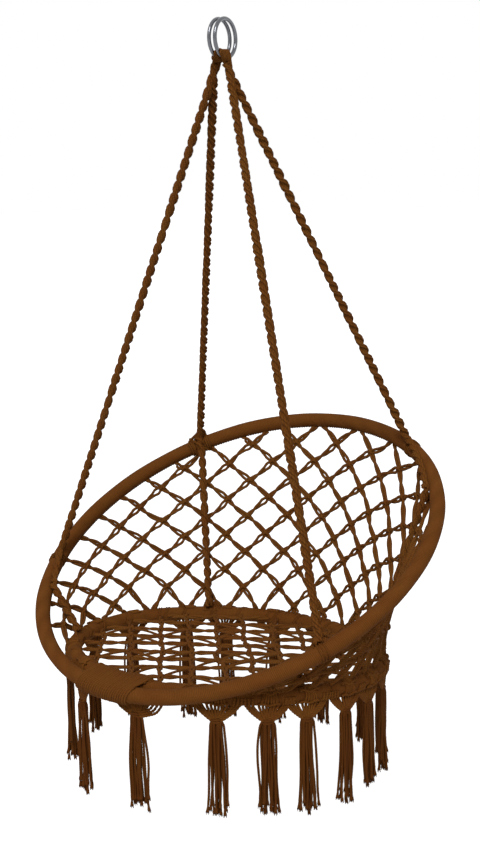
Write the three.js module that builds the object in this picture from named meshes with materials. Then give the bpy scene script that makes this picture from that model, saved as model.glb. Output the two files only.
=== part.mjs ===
// A hammock chair: two cord-wrapped steel hoops, joined by knotted nets and hung by ropes from two steel rings.
// Millimetres and degrees. +Z is up, the chair faces -Y, and the origin is the inside top of the hanging rings.
import * as THREE from 'three';

// Hanging rings
const ringOuterDiameter = 74;
const ringWireDiameter = 7;
const ringSpacing = 12;
const ringYawDeg = 9;
const ringSteps = 32;

// Hoops: a steel tube wound all over with cord
const upperHoopDiameter = 800;
const seatHoopDiameter = 600;
const wrappedDiameter = 28;
const tubeDiameter = 20;
const tubeWall = 1.2;
const upperHoopTiltDeg = 27.7;
const seatHoopTiltDeg = -5.7;
const upperHoopDepth = 912;
const upperHoopOffset = 1;
const contactLiftDeg = 15;
const buttGap = 0.6;
const upperHoopSteps = 48;
const seatHoopSteps = 36;

// Ropes, and the flat bundle of cords in which a rope goes over the rings
const ropeDiameter = 15;
const bundleThickness = 8;
const bundleWidth = 13.5;
const bundleSideDeg = 17.5;
const bundleLegLength = 13;
const bundleEndShare = 0.5;
const bundleBendShare = 0.75;
const ropeTopSpacingAcross = 22;
const ropeTopSpacingAlong = 17;
const sidewaysSwingDeg = 6;
const ropeSideDegrees = { front_left: -69, front_right: 60, back_right: 148, back_left: -131 };
const lowerRopeTopDegrees = { front_left: -57, front_right: 60, back_right: 127, back_left: -131 };
const lowerRopeGap = 5;
const lowerRopeFootDegrees = { front_left: -52, front_right: 66, back_right: 130, back_left: -130 };

// Windings of cord that tie the ropes to the upper hoop and the two hoops to each other
const cordDiameter = 7;
const knotTurns = 3;
const knotSpacing = 10;
const lashingTurns = 4;
const lashingSpacing = 8.6;
const lashingPlay = 0.4;
const turnSteps = 20;
const cordSides = 5;

// Nets
const netStrandWidth = 9;
const netThickness = 6;
const netRowSpacing = 75.4;
const netColumnDeg = 6.52;
const netColumnGrowthDeg = 0.115;
const netPhaseDeg = 3.07;
const netLeanDeg = 0.92;
const netFirstRowShare = 0.615;
const netRowShrinkShare = 0.42;
const netEvenShare = 0.5;
const netSideShare = 0.43;
const netOtherSideShare = 0.2;
const netShearStart = 0;
const netShearEnd = 13.2;
const netSideColumns = 17;
const netFrontLimitDeg = 142;
const netKnotMargin = 27;
const netMitreShare = 0.7;
const netClearance = 1;
const straySteps = 24;
const seatNetSpacingAlong = 53;
const seatNetSpacingAcross = 55.5;
const seatNetTurnDeg = 44;
const seatNetAlongShare = -0.31;
const seatNetAcrossShare = -0.27;
const seatNetKnotMargin = 24;

// Fringe under the seat hoop
const fringeCordDiameter = 7;
const fringeSides = 4;
const fringeDepth = 24;
const fringeSideDeg = 25;
const swagHalfDeg = 8;
const swagMeetDeg = 1;
const tasselLength = 157;
const tasselKnotDiameter = 20;
const tasselKnotHeight = 15;
const tasselKnotWaistShare = 0.4;
const tasselNeckDiameter = 16;
const tasselTopDiameter = 24;
const tasselFootDiameter = 38;
const tasselLobes = 5;
const tasselFluteShare = 0.62;
const tasselDegrees = [10, 38, 55, 69, 86, 100, 118, 139, 157, 181, 202, 222, 238, 263, 285, 315, 341];
const tasselDropShares = [1, 1, 1, 1, 1, 1, 1, 1, 1, 1, 1, 1, 1, 1, 1.3, 1.3, 1.9];

// Clearances
const seatGap = 0.3;
const roundSides = 8;
const endRings = 4;

// Names of the parts of a unit circle
const fullTurn = 2 * Math.PI;
const degree = fullTurn / 360;

const steel = { color: 0xb4b8bd, roughness: 0.22, metalness: 1 };
const tubeSteel = { color: 0x55585c, roughness: 0.5, metalness: 0.8 };
const brownCord = { color: 0x5f3a1b, roughness: 0.85, metalness: 0 };
const darkCord = { color: 0x4a2b12, roughness: 0.9, metalness: 0 };

// A polygon of the same area as its circle has its corners this much further out
function cornerRadius(radius, sides) {
  return radius * Math.sqrt(Math.PI / ((sides / 2) * Math.sin(fullTurn / sides)));
}

const wireCorner = cornerRadius(ringWireDiameter / 2, roundSides);
const tubeCorner = cornerRadius(tubeDiameter / 2, roundSides);
const boreCorner = cornerRadius(tubeDiameter / 2 - tubeWall, roundSides);
const wrapBoreCorner = tubeCorner + seatGap;
const wrapCorner = cornerRadius(wrappedDiameter / 2, roundSides);
const ropeCorner = cornerRadius(ropeDiameter / 2, roundSides);
const cordCorner = cornerRadius(cordDiameter / 2, cordSides);
const fringeCorner = cornerRadius(fringeCordDiameter / 2, fringeSides);
const flatShare = Math.cos(Math.PI / roundSides);
const wrapFlat = wrapCorner * flatShare;
const wireFlat = wireCorner * flatShare;
const bundleFlat = (bundleThickness / 2) * flatShare;
const fringeFlat = fringeCorner * Math.cos(Math.PI / fringeSides);
const ringRadius = (ringOuterDiameter - ringWireDiameter) / 2;
const upperRadius = (upperHoopDiameter - wrappedDiameter) / 2;
const seatRadius = (seatHoopDiameter - wrappedDiameter) / 2;

// Joins rings of points into one closed body, either round and round or with a cap at each end
function loft(rings, closed = false) {
  const perRing = rings[0].length;
  const positions = rings.flat().flatMap((point) => [point.x, point.y, point.z]);
  const faces = [];
  const joins = closed ? rings.length : rings.length - 1;
  for (let k = 0; k < joins; k += 1) {
    const here = k * perRing;
    const next = ((k + 1) % rings.length) * perRing;
    for (let i = 0; i < perRing; i += 1) {
      const j = (i + 1) % perRing;
      faces.push(here + i, here + j, next + j, here + i, next + j, next + i);
    }
  }
  if (!closed) {
    const last = (rings.length - 1) * perRing;
    for (let i = 1; i < perRing - 1; i += 1) {
      faces.push(0, i + 1, i, last, last + i, last + i + 1);
    }
  }
  return solid(positions, faces);
}

// A geometry with its faces turned outwards
function solid(positions, faces) {
  const corner = (index) => new THREE.Vector3().fromArray(positions, index * 3);
  let volume = 0;
  for (let f = 0; f < faces.length; f += 3) {
    volume += corner(faces[f]).dot(corner(faces[f + 1]).cross(corner(faces[f + 2])));
  }
  const outward = volume > 0 ? faces : faces.slice().reverse();
  const geometry = new THREE.BufferGeometry();
  geometry.setAttribute('position', new THREE.Float32BufferAttribute(positions, 3));
  geometry.setIndex(outward);
  geometry.computeVertexNormals();
  return geometry;
}

// A polygon of points round a centre, spanned by two directions
function section(centre, across, up, acrossRadius, upRadius, sides) {
  const points = [];
  for (let i = 0; i < sides; i += 1) {
    const angle = (fullTurn * (i + 0.5)) / sides;
    const point = centre.clone().addScaledVector(across, acrossRadius * Math.cos(angle));
    points.push(point.addScaledVector(up, upRadius * Math.sin(angle)));
  }
  return points;
}

// Sections square to a path; each station gives its point, its up direction and its two radii
function pathSections(stations, sides, closed = false) {
  const count = stations.length;
  return stations.map((station, k) => {
    const before = stations[closed ? (k + count - 1) % count : Math.max(k - 1, 0)].point;
    const after = stations[closed ? (k + 1) % count : Math.min(k + 1, count - 1)].point;
    const tangent = after.clone().sub(before).normalize();
    const across = tangent.clone().cross(station.up).normalize();
    const up = across.clone().cross(tangent);
    return section(station.point, across, up, station.acrossRadius, station.upRadius, sides);
  });
}

// Points of a hoop in its own plane, measured round from its front towards +X
function hoopPoint(radius, angleDeg, outward = 0, above = 0) {
  const reach = radius + outward;
  const angle = angleDeg * degree;
  return new THREE.Vector3(reach * Math.sin(angle), -reach * Math.cos(angle), above);
}

// The same on a hoop made of straight steps
function stepPoint(radius, steps, angleDeg, outward = 0, above = 0) {
  const stepDeg = 360 / steps;
  const withinDeg = THREE.MathUtils.euclideanModulo(angleDeg, stepDeg) - stepDeg / 2;
  const chord = (radius * Math.cos((stepDeg / 2) * degree)) / Math.cos(withinDeg * degree);
  return hoopPoint(chord, angleDeg, outward, above);
}

function hoopSection(radius, angleDeg, sectionRadius) {
  const outward = hoopPoint(1, angleDeg);
  const up = new THREE.Vector3(0, 0, 1);
  return section(hoopPoint(radius, angleDeg), outward, up, sectionRadius, sectionRadius, roundSides);
}

// A bent tube whose two ends meet at the hoop's front with a small gap, bored through
function bentTube(radius, outerRadius, boreRadius, steps) {
  const halfGapDeg = buttGap / 2 / radius / degree;
  const span = 360 - 2 * halfGapDeg;
  const angles = Array.from({ length: steps + 1 }, (_, k) => halfGapDeg + (span * k) / steps);
  const outside = angles.map((angle) => hoopSection(radius, angle, outerRadius));
  const inside = angles.map((angle) => hoopSection(radius, angle, boreRadius)).reverse();
  return loft([...outside, ...inside], true);
}

// The smallest gap between turns that aren't neighbours on the path, measured on its points
function leastGap(points, reach) {
  let least = Infinity;
  for (let i = 0; i < points.length; i += 1) {
    for (let j = i + Math.round(turnSteps / 2); j < points.length; j += 1) {
      least = Math.min(least, points[i].distanceTo(points[j]) - 2 * reach);
    }
  }
  return least;
}

function windingBody(name, stations) {
  const gap = leastGap(stations.map((station) => station.point), cordCorner);
  console.log(`${name}: least gap between turns ${gap.toFixed(2)} mm`);
  return loft(pathSections(stations, cordSides));
}

// A helix of cord round a hoop
function hoopWinding(radius, steps, middleDeg, turns, pitch) {
  const coilRadius = wrapCorner + seatGap + cordCorner;
  const count = turns * turnSteps;
  const stations = [];
  for (let k = 0; k <= count; k += 1) {
    const along = (k / turnSteps - turns / 2) * pitch;
    const angleDeg = middleDeg + along / radius / degree;
    const round = (fullTurn * k) / turnSteps;
    const outward = coilRadius * Math.cos(round);
    const above = coilRadius * Math.sin(round);
    const point = stepPoint(radius, steps, angleDeg, outward, above);
    const up = point.clone().sub(stepPoint(radius, steps, angleDeg)).normalize();
    stations.push({ point, up, acrossRadius: cordCorner, upRadius: cordCorner });
  }
  return stations;
}

// Frames of the object
const ringCentre = new THREE.Vector3(0, 0, -(ringOuterDiameter / 2 - ringWireDiameter));
const ringNormal = new THREE.Vector3(Math.cos(ringYawDeg * degree), Math.sin(ringYawDeg * degree), 0);
const ringForward = new THREE.Vector3(Math.sin(ringYawDeg * degree), -Math.cos(ringYawDeg * degree), 0);
const worldUp = new THREE.Vector3(0, 0, 1);

const upperCentre = new THREE.Vector3(0, upperHoopOffset, ringCentre.z - upperHoopDepth);
const hoopDistance = 2 * wrapCorner + seatGap;

const upperHoop = new THREE.Group();
upperHoop.position.copy(upperCentre);
upperHoop.rotation.x = upperHoopTiltDeg * degree;
upperHoop.updateMatrixWorld(true);

// The seat hoop's front lies just inside the upper hoop's front
const upperFront = hoopPoint(upperRadius, 0).applyMatrix4(upperHoop.matrixWorld);
const contactStep = new THREE.Vector3(0, Math.cos(contactLiftDeg * degree), Math.sin(contactLiftDeg * degree));
const seatFront = upperFront.clone().addScaledVector(contactStep, hoopDistance);
const seatTilt = seatHoopTiltDeg * degree;
const seatBackward = new THREE.Vector3(0, Math.cos(seatTilt), Math.sin(seatTilt));

const seatHoop = new THREE.Group();
seatHoop.position.copy(seatFront.clone().addScaledVector(seatBackward, seatRadius));
seatHoop.rotation.x = seatTilt;
seatHoop.updateMatrixWorld(true);

function onUpperHoop(angleDeg, outward = 0, above = 0) {
  return hoopPoint(upperRadius, angleDeg, outward, above).applyMatrix4(upperHoop.matrixWorld);
}

function onSeatHoop(angleDeg, outward = 0, above = 0) {
  return hoopPoint(seatRadius, angleDeg, outward, above).applyMatrix4(seatHoop.matrixWorld);
}

// The lashing goes round both hoops at their fronts; it turns freely on the seat hoop
const lashingHalf = (lashingTurns * lashingSpacing) / 2;
const lashingBow = seatRadius - Math.sqrt(seatRadius ** 2 - lashingHalf ** 2);
const lashingRoom = seatGap + lashingPlay + lashingBow;
const lashingCoil = wrapCorner + lashingRoom + cordCorner;
const lashingEndDeg = (lashingHalf + cordCorner + seatGap) / seatRadius / degree;

function lashing(name) {
  const stations = [];
  for (let k = 0; k <= lashingTurns * turnSteps; k += 1) {
    const x = (k / turnSteps) * lashingSpacing - lashingHalf;
    const upperDeg = Math.asin(x / upperRadius) / degree;
    const seatDeg = Math.asin(x / seatRadius) / degree;
    const upperMiddle = stepPoint(upperRadius, upperHoopSteps, upperDeg).applyMatrix4(upperHoop.matrixWorld);
    const seatMiddle = stepPoint(seatRadius, seatHoopSteps, seatDeg).applyMatrix4(seatHoop.matrixWorld);
    stations.push(lashingStation(upperMiddle, seatMiddle, lashingCoil, (k % turnSteps) / turnSteps));
  }
  return windingBody(name, stations);
}

// One station of the oval round two tubes, at a share of its length from the top of the upper hoop's tube
function lashingStation(upperMiddle, seatMiddle, coilRadius, share) {
  const toSeat = new THREE.Vector3(0, seatMiddle.y - upperMiddle.y, seatMiddle.z - upperMiddle.z);
  const straight = toSeat.length();
  toSeat.normalize();
  const upward = new THREE.Vector3(0, -toSeat.z, toSeat.y);
  const arc = Math.PI * coilRadius;
  const length = 2 * (straight + arc);
  const travelled = share * length;
  const direction = upward.clone();
  const middle = upperMiddle.clone();
  if (travelled < straight) {
    middle.addScaledVector(toSeat, travelled);
  } else if (travelled < straight + arc) {
    const angle = (travelled - straight) / coilRadius;
    middle.addScaledVector(toSeat, straight);
    direction.multiplyScalar(Math.cos(angle)).addScaledVector(toSeat, Math.sin(angle));
  } else if (travelled < 2 * straight + arc) {
    middle.addScaledVector(toSeat, 2 * straight + arc - travelled);
    direction.negate();
  } else {
    const angle = (travelled - 2 * straight - arc) / coilRadius;
    direction.multiplyScalar(-Math.cos(angle)).addScaledVector(toSeat, -Math.sin(angle));
  }
  const point = middle.addScaledVector(direction, coilRadius);
  return { point, up: direction, acrossRadius: cordCorner, upRadius: cordCorner };
}

// A rope hangs over both rings by its middle and runs down to a knot on either side
function suspensionRope(sideDeg, leftKnot, rightKnot) {
  const side = sideDeg * degree;
  const outward = ringForward.clone().multiplyScalar(Math.sin(side)).addScaledVector(worldUp, -Math.cos(side));
  const along = ringForward.clone().multiplyScalar(Math.cos(side)).addScaledVector(worldUp, Math.sin(side));
  const rockRise = (ringSpacing / 2) * Math.sin(sidewaysSwingDeg * degree);
  const sideRoom = seatGap + ringRadius * (1 - Math.cos(side)) * Math.sin(sidewaysSwingDeg * degree);
  const legReach = ringSpacing / 2 + wireFlat + sideRoom + bundleFlat;
  const saddleRise = wireFlat + seatGap + rockRise + bundleFlat;
  const wire = ringCentre.clone().addScaledVector(outward, ringRadius);
  const place = (across, above) =>
    wire.clone().addScaledVector(ringNormal, across).addScaledVector(outward, -above);
  const bend = bundleThickness * bundleBendShare;
  const shoulder = bend * (1 - Math.SQRT1_2);
  const flat = { acrossRadius: bundleThickness / 2, upRadius: bundleWidth / 2 };
  const round = { acrossRadius: ropeCorner, upRadius: ropeCorner };
  const flatShape = [
    [legReach, -bundleLegLength * bundleEndShare],
    [legReach, saddleRise - bend],
    [legReach - shoulder, saddleRise - shoulder],
    [legReach - bend, saddleRise],
  ];
  const half = (sign, knot) => {
    const start = ringCentre.clone()
      .addScaledVector(ringNormal, (sign * ropeTopSpacingAcross) / 2)
      .addScaledVector(ringForward, (Math.sign(side) * ropeTopSpacingAlong) / 2)
      .addScaledVector(worldUp, -ringRadius - bundleLegLength - ropeDiameter / 2);
    const end = ropeEnd(start, knot);
    const middle = start.clone().lerp(end, 0.5);
    const far = [end, middle, start].map((point) => ({ point, up: along, ...round }));
    const near = flatShape.map(([across, above]) => ({ point: place(sign * across, above), up: along, ...flat }));
    return [...far, ...near];
  };
  const stations = [...half(-1, leftKnot), ...half(1, rightKnot).reverse()];
  return loft(pathSections(stations, roundSides));
}

// What surrounds the upper hoop where a rope is tied
const knotReach = wrapCorner + 2 * cordCorner + seatGap;
const knotPaths = {};
for (const [side, angleDeg] of Object.entries(ropeSideDegrees)) {
  knotPaths[side] = hoopWinding(upperRadius, upperHoopSteps, angleDeg, knotTurns, knotSpacing);
}

function upperTangent(angleDeg) {
  return hoopPoint(1, angleDeg + 90).transformDirection(upperHoop.matrixWorld);
}

function seatTangent(angleDeg) {
  return hoopPoint(1, angleDeg + 90).transformDirection(seatHoop.matrixWorld);
}

// The gap between a point and a winding on the upper hoop
function windingGap(stations) {
  const points = stations.map((station) => station.point.clone().applyMatrix4(upperHoop.matrixWorld));
  const nearest = new THREE.Vector3();
  return (point) => {
    let least = Infinity;
    for (let k = 1; k < points.length; k += 1) {
      new THREE.Line3(points[k - 1], points[k]).closestPointToPoint(point, true, nearest);
      least = Math.min(least, nearest.distanceTo(point));
    }
    return least - cordCorner;
  };
}

// The gap between a point and the flat sides of a wrapped hoop
function wrapGap(hoop, radius, steps) {
  const toHoop = hoop.matrixWorld.clone().invert();
  return (point) => {
    const local = point.clone().applyMatrix4(toHoop);
    const middle = stepPoint(radius, steps, Math.atan2(local.x, -local.y) / degree);
    const outward = Math.hypot(local.x, local.y) - Math.hypot(middle.x, middle.y);
    let gap = -Infinity;
    for (let i = 0; i < roundSides; i += 1) {
      const angle = (fullTurn * i) / roundSides;
      gap = Math.max(gap, outward * Math.cos(angle) + local.z * Math.sin(angle) - wrapFlat);
    }
    return gap;
  };
}

// Moves a rope's square end along the rope until it's clear of what it is tied to
function clearEnd(start, direction, gaps) {
  const across = direction.clone().cross(new THREE.Vector3(0, 1, 0)).normalize();
  const up = across.clone().cross(direction);
  const centre = start.clone();
  const isClear = () => {
    for (let ring = 0; ring <= endRings; ring += 1) {
      const reach = (ropeCorner * ring) / endRings;
      const spots = section(centre, across, up, reach, reach, 2 * roundSides);
      if (spots.some((spot) => gaps.some((gap) => gap(spot) < seatGap))) {
        return false;
      }
    }
    return true;
  };
  while (!isClear()) {
    centre.addScaledVector(direction, seatGap / 2);
  }
  return centre;
}

const upperGap = wrapGap(upperHoop, upperRadius, upperHoopSteps);
const seatHoopGap = wrapGap(seatHoop, seatRadius, seatHoopSteps);

function ropeEnd(from, side) {
  const target = onUpperHoop(ropeSideDegrees[side]);
  const back = from.clone().sub(target).normalize();
  return clearEnd(target, back, [windingGap(knotPaths[side]), upperGap]);
}

// Between the hoops a rope goes on down the inner face of the net
function lowerRope(side) {
  const topDeg = lowerRopeTopDegrees[side];
  const footDeg = lowerRopeFootDegrees[side];
  const top = onUpperHoop(topDeg);
  const foot = onSeatHoop(footDeg);
  const downward = foot.clone().sub(top).normalize();
  const upward = downward.clone().negate();
  const inset = -(netThickness / 2 + ropeCorner + lowerRopeGap);
  top.addScaledVector(surfaceNormal(topDeg), inset);
  foot.addScaledVector(surfaceNormal(footDeg), inset);
  const start = clearEnd(top, downward, [windingGap(knotPaths[side]), upperGap]);
  const end = clearEnd(foot, upward, [seatHoopGap]);
  const middle = start.clone().lerp(end, 0.5);
  const up = new THREE.Vector3(0, 1, 0);
  const round = { acrossRadius: ropeCorner, upRadius: ropeCorner };
  return loft(pathSections([start, middle, end].map((point) => ({ point, up, ...round })), roundSides));
}

// The surface that the back net lies in: straight lines from the upper hoop to the seat hoop
function surfacePoint(angleDeg, depth) {
  const top = onUpperHoop(angleDeg);
  const foot = onSeatHoop(angleDeg);
  return top.lerp(foot, depth / surfaceLength(angleDeg));
}

function surfaceLength(angleDeg) {
  return onUpperHoop(angleDeg).distanceTo(onSeatHoop(angleDeg));
}

function surfaceNormal(angleDeg) {
  const top = onUpperHoop(angleDeg);
  const downward = onSeatHoop(angleDeg).sub(top);
  const sideways = onUpperHoop(angleDeg + 1).sub(top);
  const normal = downward.cross(sideways).normalize();
  const outward = top.clone().sub(upperCentre);
  return normal.dot(outward) < 0 ? normal.negate() : normal;
}

// A net as one flat-sided body: knots are polygons and strands are bars between their corners
// nodes hold point and normal; links hold two node numbers; ends hold a node number, a free point and the
// direction of the hoop that they stop at
function netBody(nodes, links, ends) {
  const arms = nodes.map(() => []);
  const frame = nodes.map(({ normal }) => {
    const across = new THREE.Vector3(0, 0, 1).cross(normal);
    if (across.lengthSq() < 0.5) {
      across.set(1, 0, 0);
    }
    across.addScaledVector(normal, -across.dot(normal)).normalize();
    return { across, along: normal.clone().cross(across) };
  });
  const bearing = (node, point) => {
    const away = point.clone().sub(nodes[node].point);
    return Math.atan2(away.dot(frame[node].along), away.dot(frame[node].across));
  };
  links.forEach(([a, b]) => {
    arms[a].push({ other: b, bearing: bearing(a, nodes[b].point) });
    arms[b].push({ other: a, bearing: bearing(b, nodes[a].point) });
  });
  ends.forEach(({ node, point, edge }) => arms[node].push({ free: point, edge, bearing: bearing(node, point) }));

  const positions = [];
  const faces = [];
  const addPair = (point, normal) => {
    for (const side of [1, -1]) {
      const corner = point.clone().addScaledVector(normal, (side * netThickness) / 2);
      positions.push(corner.x, corner.y, corner.z);
    }
    return positions.length / 3 - 2;
  };
  const quad = (a, b, c, d) => faces.push(a, b, c, a, c, d);

  // Corners between neighbouring arms, then the knot's two faces
  nodes.forEach((node, index) => {
    const list = arms[index];
    list.sort((a, b) => a.bearing - b.bearing);
    const count = list.length;
    const corners = list.map((arm, k) => {
      const next = list[(k + 1) % count];
      let spread = next.bearing - arm.bearing;
      if (spread <= 0) {
        spread += fullTurn;
      }
      const middle = arm.bearing + spread / 2;
      const reach = netStrandWidth / 2 / Math.max(Math.sin(spread / 2), 0.5);
      const point = node.point.clone()
        .addScaledVector(frame[index].across, reach * Math.cos(middle))
        .addScaledVector(frame[index].along, reach * Math.sin(middle));
      return addPair(point, node.normal);
    });
    list.forEach((arm, k) => {
      arm.left = corners[k];
      arm.right = corners[(k + count - 1) % count];
    });
    for (let k = 1; k < count - 1; k += 1) {
      faces.push(corners[0], corners[k], corners[k + 1]);
      faces.push(corners[0] + 1, corners[k + 1] + 1, corners[k] + 1);
    }
  });

  const bar = (rightA, leftA, leftB, rightB) => {
    quad(rightA, leftB, rightB, leftA);
    quad(leftA + 1, rightB + 1, leftB + 1, rightA + 1);
    quad(rightA, rightA + 1, leftB + 1, leftB);
    quad(leftA, rightB, rightB + 1, leftA + 1);
  };
  links.forEach(([a, b]) => {
    const atA = arms[a].find((arm) => arm.other === b);
    const atB = arms[b].find((arm) => arm.other === a);
    bar(atA.right, atA.left, atB.left, atB.right);
  });
  nodes.forEach((node, index) => {
    arms[index].filter((arm) => arm.free).forEach((arm) => {
      const away = arm.free.clone().sub(node.point).normalize();
      const leftward = node.normal.clone().cross(away).normalize();
      const slant = arm.edge.dot(leftward);
      const reach = (Math.sign(slant) * netStrandWidth) / 2 / Math.max(Math.abs(slant), netMitreShare);
      const left = addPair(arm.free.clone().addScaledVector(arm.edge, reach), node.normal);
      const right = addPair(arm.free.clone().addScaledVector(arm.edge, -reach), node.normal);
      bar(arm.right, arm.left, right, left);
      quad(left, right, right + 1, left + 1);
    });
  });
  return solid(positions, faces);
}

// Share of a row by which the net's slanting lines drop from one column to the next
function rowShare(column) {
  const side = THREE.MathUtils.smoothstep(Math.abs(column), netShearStart, netShearEnd);
  return column > 0 ? netEvenShare - netSideShare * side : 1 - netEvenShare - netOtherSideShare * side;
}

function backNetPlace(column, line, lineShift) {
  const level = (netColumnDeg + netColumnGrowthDeg * Math.abs(column)) * column;
  const turn = netPhaseDeg + level + netLeanDeg * (line + lineShift);
  const angleDeg = turn - 180;
  const length = surfaceLength(angleDeg);
  const pitch = netRowSpacing * (length / surfaceLength(180)) ** netRowShrinkShare;
  return { angleDeg, turn, length, depth: pitch * (line + lineShift) };
}

// Each slanting line meets the next line's knots one column over
function backNet() {
  const shifts = new Map([[0, netFirstRowShare]]);
  for (let c = 0; c < netSideColumns; c += 1) {
    shifts.set(c + 1, shifts.get(c) + rowShare(c + 0.5));
    shifts.set(-c - 1, shifts.get(-c) - rowShare(-c - 0.5));
  }
  const lines = Math.ceil(surfaceLength(180) / netRowSpacing) + netSideColumns;
  const places = new Map();
  const nodes = [];
  for (const [column, shift] of shifts) {
    for (let line = -lines; line <= lines; line += 1) {
      const place = backNetPlace(column, line, shift);
      const shallow = depthFrom(true, place.angleDeg, netKnotMargin);
      const inside = place.depth > shallow && place.depth < depthFrom(false, place.angleDeg, netKnotMargin);
      place.node = inside && Math.abs(place.turn) < netFrontLimitDeg ? nodes.length : -1;
      if (place.node >= 0) {
        nodes.push({ point: surfacePoint(place.angleDeg, place.depth), normal: surfaceNormal(place.angleDeg) });
      }
      places.set(`${column},${line}`, place);
    }
  }
  const links = [];
  const strays = [];
  for (const [column] of shifts) {
    for (let line = -lines; line <= lines; line += 1) {
      const here = places.get(`${column},${line}`);
      for (const other of [places.get(`${column + 1},${line}`), places.get(`${column - 1},${line + 1}`)]) {
        if (other && here.node >= 0 && other.node >= 0) {
          links.push([here.node, other.node]);
        } else if (other && here.node >= 0) {
          strays.push(netStray(here, other));
        } else if (other && other.node >= 0) {
          strays.push(netStray(other, here));
        }
      }
    }
  }
  const ends = [];
  for (const upward of [true, false]) {
    const along = strays.filter((stray) => stray.upward === upward);
    const radius = upward ? upperRadius : seatRadius;
    spread(along, (netStrandWidth / netMitreShare + seatGap) / radius / degree);
    uncross(along, nodes, (angleDeg) => surfacePoint(angleDeg, strayDepth(upward, angleDeg)));
    along.forEach(({ node, angleDeg }) => {
      const depth = strayDepth(upward, angleDeg);
      const point = surfacePoint(angleDeg, depth);
      const edge = upward ? upperTangent(angleDeg) : seatTangent(angleDeg);
      ends.push({ node, point, edge });
    });
  }
  return netBody(nodes, links, ends);
}

// Moves strands apart round a hoop where they'd stop on the same spot
function spread(along, leastDeg) {
  along.sort((a, b) => a.angleDeg - b.angleDeg);
  for (let pass = 0; pass < along.length; pass += 1) {
    for (let k = 1; k < along.length; k += 1) {
      const short = leastDeg - (along[k].angleDeg - along[k - 1].angleDeg);
      if (short > 0) {
        along[k].angleDeg += short / 2;
        along[k - 1].angleDeg -= short / 2;
      }
    }
  }
}

// The depth along the net's surface that keeps a distance from a hoop's middle line
function depthFrom(upward, angleDeg, distance) {
  const downward = onSeatHoop(angleDeg).sub(onUpperHoop(angleDeg)).normalize();
  const slant = downward.dot(upward ? upperTangent(angleDeg) : seatTangent(angleDeg));
  const room = distance / Math.sqrt(1 - slant ** 2);
  return upward ? room : surfaceLength(angleDeg) - room;
}

function strayDepth(upward, angleDeg) {
  const reach = upward && besideKnot(angleDeg) ? knotReach : wrapCorner;
  return depthFrom(upward, angleDeg, reach + seatGap + netClearance);
}

// Where a strand that leaves a knot stops on one of the hoops
function netStray(from, to) {
  const upward = to.depth / to.length < from.depth / from.length;
  const angleAt = (share) => THREE.MathUtils.lerp(from.angleDeg, to.angleDeg, share);
  let share = 1;
  for (let step = straySteps - 1; step > 0; step -= 1) {
    const depth = THREE.MathUtils.lerp(from.depth, to.depth, step / straySteps);
    const limit = strayDepth(upward, angleAt(step / straySteps));
    if (upward ? depth < limit : depth > limit) {
      share = step / straySteps;
    }
  }
  return { node: from.node, upward, angleDeg: angleAt(share) };
}

// Two strands that would cross on their way to a hoop change places
function uncross(along, nodes, endPoint) {
  const reach = (stray, angleDeg) => nodes[stray.node].point.distanceTo(endPoint(angleDeg));
  for (let k = 1; k < along.length; k += 1) {
    const before = along[k - 1];
    const after = along[k];
    const straight = reach(before, before.angleDeg) + reach(after, after.angleDeg);
    if (reach(before, after.angleDeg) + reach(after, before.angleDeg) < straight) {
      [before.angleDeg, after.angleDeg] = [after.angleDeg, before.angleDeg];
      along[k - 1] = after;
      along[k] = before;
    }
  }
}

// Strands stop short where a winding lies on the upper hoop
function besideKnot(angleDeg) {
  const reachDeg = (knotTurns * knotSpacing + cordDiameter + 5 * netStrandWidth) / 2 / upperRadius / degree;
  const turnTo = (side) => Math.abs(THREE.MathUtils.euclideanModulo(angleDeg - side + 180, 360) - 180);
  return Object.values(ropeSideDegrees).some((side) => turnTo(side) < reachDeg);
}

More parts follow.
